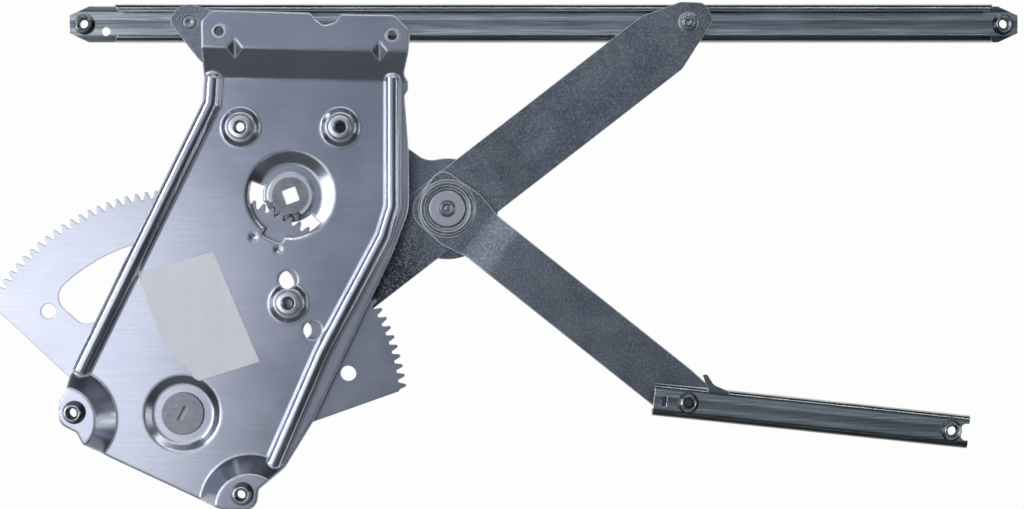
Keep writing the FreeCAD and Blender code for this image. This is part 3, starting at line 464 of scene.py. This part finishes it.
# The sector and the pinion. The sector is fine-blanked from 3 mm sheet and plated, so its faces are pale and its
# sheared tooth flanks darker. The pinion is sintered, dull grey and a little oily, with an open ring on its
# journal in the nuts' bright zinc.
merged_copy("toothed_sector", "sector_gear", "lift",
            plated_sheet("plated_sector", "#cacdd6", "#b5b9c6", bend=0.5, rub=0.0, cloud=28.0, grain_angle=0.6,
                         streak=0.025), bevel=0.15)
merged_copy("sintered_pinion", "drive_pinion", "pinion",
            plated_sheet("sintered_steel", "#a9acb3", "#8e9198", bend=0.5, rub=0.5, cloud=4.0,
                         roughness=(0.38, 0.55), scratch=0.0), bevel=0.12)
merged_copy("journal_ring", "pinion_ring", "pinion", bright_zinc, bevel=0.12)

# The arms. Thick strip with a dark chromated zinc that the acid bath left pitted, with pale flecks and edges
# rubbed bright. The lift arm's sheet is 3 mm, the two equaliser halves' 2.5 mm, and each joggle is a smooth S.
# Painted shade darkens the lift arm from its root to about 170 mm along, and two painted highlight rings lie on
# the bead round the hub of the front half.
PIVOT = (-59.211, -120.069)
HUB = (86.335, -7.171)
ARM_ANGLE = 37.8
FRONT_HALF_ANGLE = -38.53
CAD_JOGGLE_RUN = 5.0
JOGGLE_CUTS = 14


def eased_joggle(piece, start, angle, first, run, before, after, sheet):
    """Redraws a strip's joggle as a smooth S. The depth follows 3t^2 - 2t^3, from before to after, over a run.

    first is the joggle's distance from the point start, along a line at the angle."""
    way = np.array([math.cos(math.radians(angle)), 0.0, math.sin(math.radians(angle))])
    origin = np.array([start[0], 0.0, start[1]])
    work = bmesh.new()
    work.from_mesh(piece.data)

    # The strip is cut into rows over the run and a little past both ends, so that the S meets the flat in a row.
    for share in np.linspace(-0.05, 1.05, JOGGLE_CUTS):
        cut = origin + way * (first + run * share)
        bmesh.ops.bisect_plane(work, geom=work.verts[:] + work.edges[:] + work.faces[:], dist=1e-7,
                               plane_co=(cut * MM).tolist(), plane_no=way.tolist())
    for vertex in work.verts:
        share = (float(np.dot(np.array(vertex.co) / MM - origin, way)) - first) / run
        if -0.06 < share < 1.06:
            share = min(max(share, 0.0), 1.0)
            old = before + (after - before) * min(max(share * run / CAD_JOGGLE_RUN, 0.0), 1.0)
            new = before + (after - before) * (3 * share ** 2 - 2 * share ** 3)
            behind = vertex.co.y / MM > old + sheet / 2
            vertex.co.y = (new + (sheet if behind else 0.0)) * MM
    for edge in work.edges:
        edge.smooth = edge.calc_face_angle(0) < math.radians(SMOOTH_ANGLE)
    work.to_mesh(piece.data)
    work.free()


def arm_zinc(name, bands=None, bend=0.7):
    """Dark, pitted zinc of the arms, with the tones of bands if they are given."""
    return plated_sheet(name, "#8e969f", "#818993", bend=bend, rub=0.8, cloud=14.0, grain=0.8, grain_angle=-0.66,
                        roughness=(0.36, 0.46), fleck=0.55, fleck_size=1.0, fleck_hex="#bcc5ce", scratch=0.1,
                        pit=0.05, bands=bands)


def painted_light_bands(middle, angle, half, stops):
    """Painted light and shade across a strip: a ramp of tones over its height from -half to half, about a line
    through middle at an angle.
    """
    def bands(tree):
        place = add_node(tree, "ShaderNodeTexCoord").outputs["Object"]
        turn = math.radians(angle)
        across = add_node(tree, "ShaderNodeVectorMath", {"operation": "DOT_PRODUCT"},
                          {0: place, 1: (-math.sin(turn), 0.0, math.cos(turn))})
        offset = (-math.sin(turn) * middle[0] + math.cos(turn) * middle[1]) * MM
        height = add_node(tree, "ShaderNodeMapRange", inputs={"Value": across.outputs["Value"],
                                                              "From Min": offset - half * MM,
                                                              "From Max": offset + half * MM})
        ramp = add_node(tree, "ShaderNodeValToRGB", inputs={0: height.outputs[0]})
        set_stops(ramp.color_ramp, [(position, (grey, grey, grey, 1)) for position, grey in stops])
        return ramp.outputs[0]
    return bands


# Painted highlight: two bright rings on the hub's bead, in place of the light its flanks catch.
BEAD_START = 10.0
BEAD_END = 20.0
BEAD_HIGHLIGHT_TONES = [(0.0, 0.7), (0.14, 0.8), (0.21, 2.4), (0.29, 0.8), (0.46, 0.7), (0.53, 2.4), (0.61, 0.9), (1.0, 1.0)]


def painted_highlight_bead(tree):
    """Tones over the distance from the hub's centre: two painted highlight rings on the bead, at 12.1 and 15.3 mm.
    """
    place = add_node(tree, "ShaderNodeTexCoord").outputs["Object"]
    flat = add_node(tree, "ShaderNodeVectorMath", {"operation": "MULTIPLY"}, {0: place, 1: (1.0, 0.0, 1.0)})
    reach = add_node(tree, "ShaderNodeVectorMath", {"operation": "DISTANCE"},
                     {0: flat.outputs[0], 1: (HUB[0] * MM, 0.0, HUB[1] * MM)})
    share = add_node(tree, "ShaderNodeMapRange", inputs={"Value": reach.outputs["Value"],
                                                         "From Min": BEAD_START * MM, "From Max": BEAD_END * MM})
    ramp = add_node(tree, "ShaderNodeValToRGB", inputs={0: share.outputs[0]})
    set_stops(ramp.color_ramp, [(position, (grey, grey, grey, 1)) for position, grey in BEAD_HIGHLIGHT_TONES])
    return ramp.outputs[0]


# Painted shade: the lift arm's root is darkened to 0.3 of its tone, where the plate shades it.
painted_shade_root = painted_light_bands(PIVOT, ARM_ANGLE - 90, 360.0, [(0.0, 0.3), (0.70, 0.3), (0.735, 1.0), (1.0, 1.0)])
lift_strip = merged_copy("lift_arm_strip", "lift_arm", "lift",
                         arm_zinc("dark_zinc_painted_shade_root", painted_shade_root))
eased_joggle(lift_strip, PIVOT, ARM_ANGLE, first=215.2, run=22.0, before=8.3, after=11.3, sheet=3.0)
front_half = merged_copy("equaliser_front_half", "lower_equaliser_arm", "equaliser",
                         arm_zinc("dark_zinc_painted_highlight_bead", painted_highlight_bead, bend=1.2))
eased_joggle(front_half, HUB, FRONT_HALF_ANGLE, first=20.5, run=21.0, before=5.5, after=1.8, sheet=2.5)
dark_zinc = arm_zinc("dark_pitted_zinc")
merged_copy("equaliser_rear_half", "upper_equaliser_arm", "equaliser", dark_zinc)


# The rivets, pins, bush and washers. Cold-headed bare steel, satin where the punch pressed it, with the heads
# domed at the rim. The closing punch leaves a shallow ring on the centre rivet and a slot on the sector's. The
# lift arm's pin is plated with its arm, and the washer under the centre rivet has the nuts' bright zinc.
TURNED_SIDES = 96
CORNER_STEPS = 6


def turned_piece(name, cad_node, body, material, place, profile):
    """Surface of revolution about Y at (x, z): each (radius, depth) of the profile is carried round the circle."""
    ring = swept_ring(profile, TURNED_SIDES)
    ring[:, 0] += place[0]
    ring[:, 2] += place[1]
    faces = ring_faces(len(profile), TURNED_SIDES, closed=profile[0][0] > 0)
    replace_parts(mesh_piece(name, ring, faces, body, material), cad_node)


def rounded(radius, depth, corner, start, end):
    """Quarter of a circle of one corner radius round the point (radius, depth), between two angles in degrees."""
    angles = np.radians(np.linspace(start, end, CORNER_STEPS))
    return [(radius + corner * math.cos(a), depth + corner * math.sin(a)) for a in angles]


rivet_steel = plated_sheet("cold_headed_steel", "#a3a8ae", "#8c9197", bend=0.4, rub=0.4, cloud=5.0,
                           roughness=(0.36, 0.48), fleck=0.25, fleck_hex="#c5c9ce", scratch=0.0, pit=0.02)
for name, node, body in (
        ("sector_pivot_rivet", "pivot_rivet", "base"),
        ("sector_pivot_washer", "pivot_washer", "base"),
        ("sector_to_arm_rivets", "sector_rivets", "lift"),
        ("equaliser_bush", "centre_bush", "equaliser")):
    merged_copy(name, node, body, rivet_steel, bevel=0.35)
LIFT_TIP = (219.950, 96.471)
UPPER_TIP = (-56.654, 96.471)
GUIDE_TIP = (219.988, -113.598)
turned_piece("equaliser_rivet", "centre_rivet", "equaliser", rivet_steel, HUB,
             [(0, 3.05), (0.9, 3.1), (1.35, 3.5), (2.0, 3.5), (2.4, 2.9), (2.7, 2.75), (3.5, 2.75), (3.8, 2.9),
              (4.75, 4.2), (4.0, 4.2), (4.0, 14.1), (8.0, 14.1)] + rounded(7.2, 14.9, 0.8, 0, 90) + [(0, 15.7)])
turned_piece("lift_arm_pin", "lift_roller_pin", "lift", dark_zinc, LIFT_TIP,
             [(0, 10.7), (0.8, 10.6), (1.4, 10.0), (2.2, 9.9), (2.9, 10.2), (3.4, 10.8), (5.3, 10.95), (5.8, 11.3),
              (4.0, 11.3), (4.0, 24.2), (5.8, 24.2)] + rounded(5.0, 24.8, 0.8, 0, 90) + [(0, 25.6)])
turned_piece("upper_arm_pin", "upper_roller_pin", "equaliser", rivet_steel, UPPER_TIP,
             [(0, 12.2), (0.9, 12.1), (1.5, 11.65), (3.0, 11.6), (3.7, 11.8), (4.0, 12.2), (4.0, 24.2),
              (5.8, 24.2)] + rounded(5.0, 24.8, 0.8, 0, 90) + [(0, 25.6)])
turned_piece("guide_arm_pin", "guide_roller_pin", "equaliser", rivet_steel, GUIDE_TIP,
             [(0, 5.7)] + rounded(4.9, 4.9, 0.8, 90, 0) + [(5.8, 4.3), (3.5, 4.3), (3.5, -8.4), (5.8, -8.4)]
             + rounded(5.0, -9.0, 0.8, 0, -90) + [(0, -9.8)])
merged_copy("equaliser_washer", "centre_washer", "equaliser", bright_zinc, bevel=0.3)


# The rails. Roll-formed galvanised strip, a pale grey zinc with a smooth sheen. Light and shade are painted along
# the strip in bands: painted highlights on the lower web and the rims of the lips, painted shade in the upper web.
RAIL_PAINTED_LIGHT_BANDS = [(0.0, 0.35), (0.12, 0.25), (0.20, 0.4), (0.23, 1.0), (0.35, 1.15), (0.39, 0.8), (0.57, 0.55),
              (0.60, 0.65), (0.63, 1.1), (0.70, 1.15), (0.75, 0.9), (0.78, 1.3), (0.82, 0.8), (0.86, 0.2),
              (0.90, 0.4), (1.0, 0.6)]
for name, node, body, middle, angle, half in (
        ("glass_channel", "glass_rail", "glass_rail", LIFT_TIP, 0.0, 10.5),
        ("guide_channel", "guide_rail", "guide_rail", GUIDE_TIP, -6.0, 9.0)):
    galvanised = plated_sheet("galvanised_" + name, "#edf4f5", "#d5ddde", bend=0.6, rub=0.4, cloud=45.0,
                              grain=0.45, streak=0.22, roughness=(0.18, 0.24), scratch=0.15,
                              bands=painted_light_bands(middle, angle, half, RAIL_PAINTED_LIGHT_BANDS))
    merged_copy(name, node, body, galvanised, bevel=0.2)


# The rollers. Natural nylon, turned waxy by grease, moulded and then run in between the rails' lips and webs.
# The grease leaves soft smears of cream and ochre on it, and a broad, low shine.
ROLLER_CORNER = 1.6
nylon, tree, output = new_material("greased_nylon")
place = add_node(tree, "ShaderNodeTexCoord").outputs["Object"]
smear = add_node(tree, "ShaderNodeTexNoise", inputs={"Vector": place, "Scale": 1 / (4 * MM), "Detail": 4.0})
tint = add_node(tree, "ShaderNodeMix", {"data_type": "RGBA"},
                {"Factor": smear.outputs[0], 6: linear("#e6e1cf"), 7: linear("#c9c2a8")})
surface = add_node(tree, "ShaderNodeBsdfPrincipled",
                   inputs={"Base Color": tint.outputs[2], "Roughness": 0.4, "IOR": 1.53,
                           "Subsurface Weight": 0.1, "Subsurface Scale": 0.002})
tree.links.new(surface.outputs[0], output.inputs["Surface"])
for name, node, place, radius, bore, front, back in (
        ("lift_arm_roller", "lift_roller", LIFT_TIP, 8.6, 4.06, 18.1, 24.1),
        ("equaliser_upper_roller", "upper_roller", UPPER_TIP, 8.6, 4.06, 18.1, 24.1),
        ("equaliser_lower_roller", "guide_roller", GUIDE_TIP, 7.1, 3.56, -8.3, -2.8)):
    rim = radius - ROLLER_CORNER
    turned_piece(name, node, node, nylon, place,
                 [(bore, front)] + rounded(rim, front + ROLLER_CORNER, ROLLER_CORNER, -90, 0)
                 + rounded(rim, back - ROLLER_CORNER, ROLLER_CORNER, 0, 90) + [(bore, back)])


# The sticker. Blank white paper, 0.08 mm thick, stuck over the plate's left half and creased, with its lower left
# corner torn away. Uncoated paper has a fibrous, matt face with faint stains.
STICKER_CORNERS = [(-84.2, -42.1), (-41.8, -31.1), (-16.5, -91.6), (-61.6, -105.9)]
PAPER = 0.08
TEAR_START = 0.62
TEAR_WIDTH = 0.26


def sticker_point(across, down):
    """Bilinear place on the sticker, a tenth of a millimetre proud, with shallow creases as sums of sines."""
    top_left, top_right, low_right, low_left = [np.array(corner) for corner in STICKER_CORNERS]
    top = top_left + across[..., None] * (top_right - top_left)
    low = low_left + across[..., None] * (low_right - low_left)
    flat = top + down[..., None] * (low - top)
    crease = 0.12 * np.abs(np.sin(9 * across + 4 * down)) + 0.08 * np.sin(23 * down + 5 * across) ** 2
    return np.stack([flat[..., 0], -0.12 - crease, flat[..., 1]], -1)


columns, rows = 90, 120
down = np.linspace(0, 1, rows)[:, None] * np.ones(columns)[None, :]

# The left edge is almost straight at first. Below the tear's start it runs inwards, frayed by two sine waves.
torn = TEAR_WIDTH * np.clip((down - TEAR_START) / (1 - TEAR_START), 0, 1)
frayed = torn + 0.012 * np.sin(31 * down) + 0.008 * np.sin(77 * down)
left_edge = np.where(down > 0.6, frayed, 0.004 * np.sin(40 * down))
across = left_edge + (1 - left_edge) * np.linspace(0, 1, columns)[None, :]
grid = sticker_point(across, down).reshape(-1, 3)
index = np.arange(rows * columns).reshape(rows, columns)
quads = np.stack([index[:-1, :-1], index[1:, :-1], index[1:, 1:], index[:-1, 1:]], -1).reshape(-1, 4)
paper, tree, output = new_material("sticker_paper")
place = add_node(tree, "ShaderNodeTexCoord").outputs["Object"]
stain = add_node(tree, "ShaderNodeTexNoise", inputs={"Vector": place, "Scale": 1 / (16 * MM), "Detail": 6.0,
                                                     "Roughness": 0.65})
tint = add_node(tree, "ShaderNodeMix", {"data_type": "RGBA"},
                {"Factor": stain.outputs[0], 6: linear("#edecf4"), 7: linear("#fafafd")})
fibre = add_node(tree, "ShaderNodeTexNoise", inputs={"Vector": place, "Scale": 1 / (0.5 * MM), "Detail": 3.0})
bump = add_node(tree, "ShaderNodeBump",
                inputs={"Height": fibre.outputs[0], "Strength": 0.2, "Distance": 0.03 * MM})
surface = add_node(tree, "ShaderNodeBsdfPrincipled",
                   inputs={"Base Color": tint.outputs[2], "Roughness": 0.62, "Normal": bump.outputs[0]})
tree.links.new(surface.outputs[0], output.inputs["Surface"])
sticker = mesh_piece("blank_sticker", grid, quads, "base", paper)
thickness = sticker.modifiers.new("paper_thickness", "SOLIDIFY")
thickness.thickness = PAPER * MM
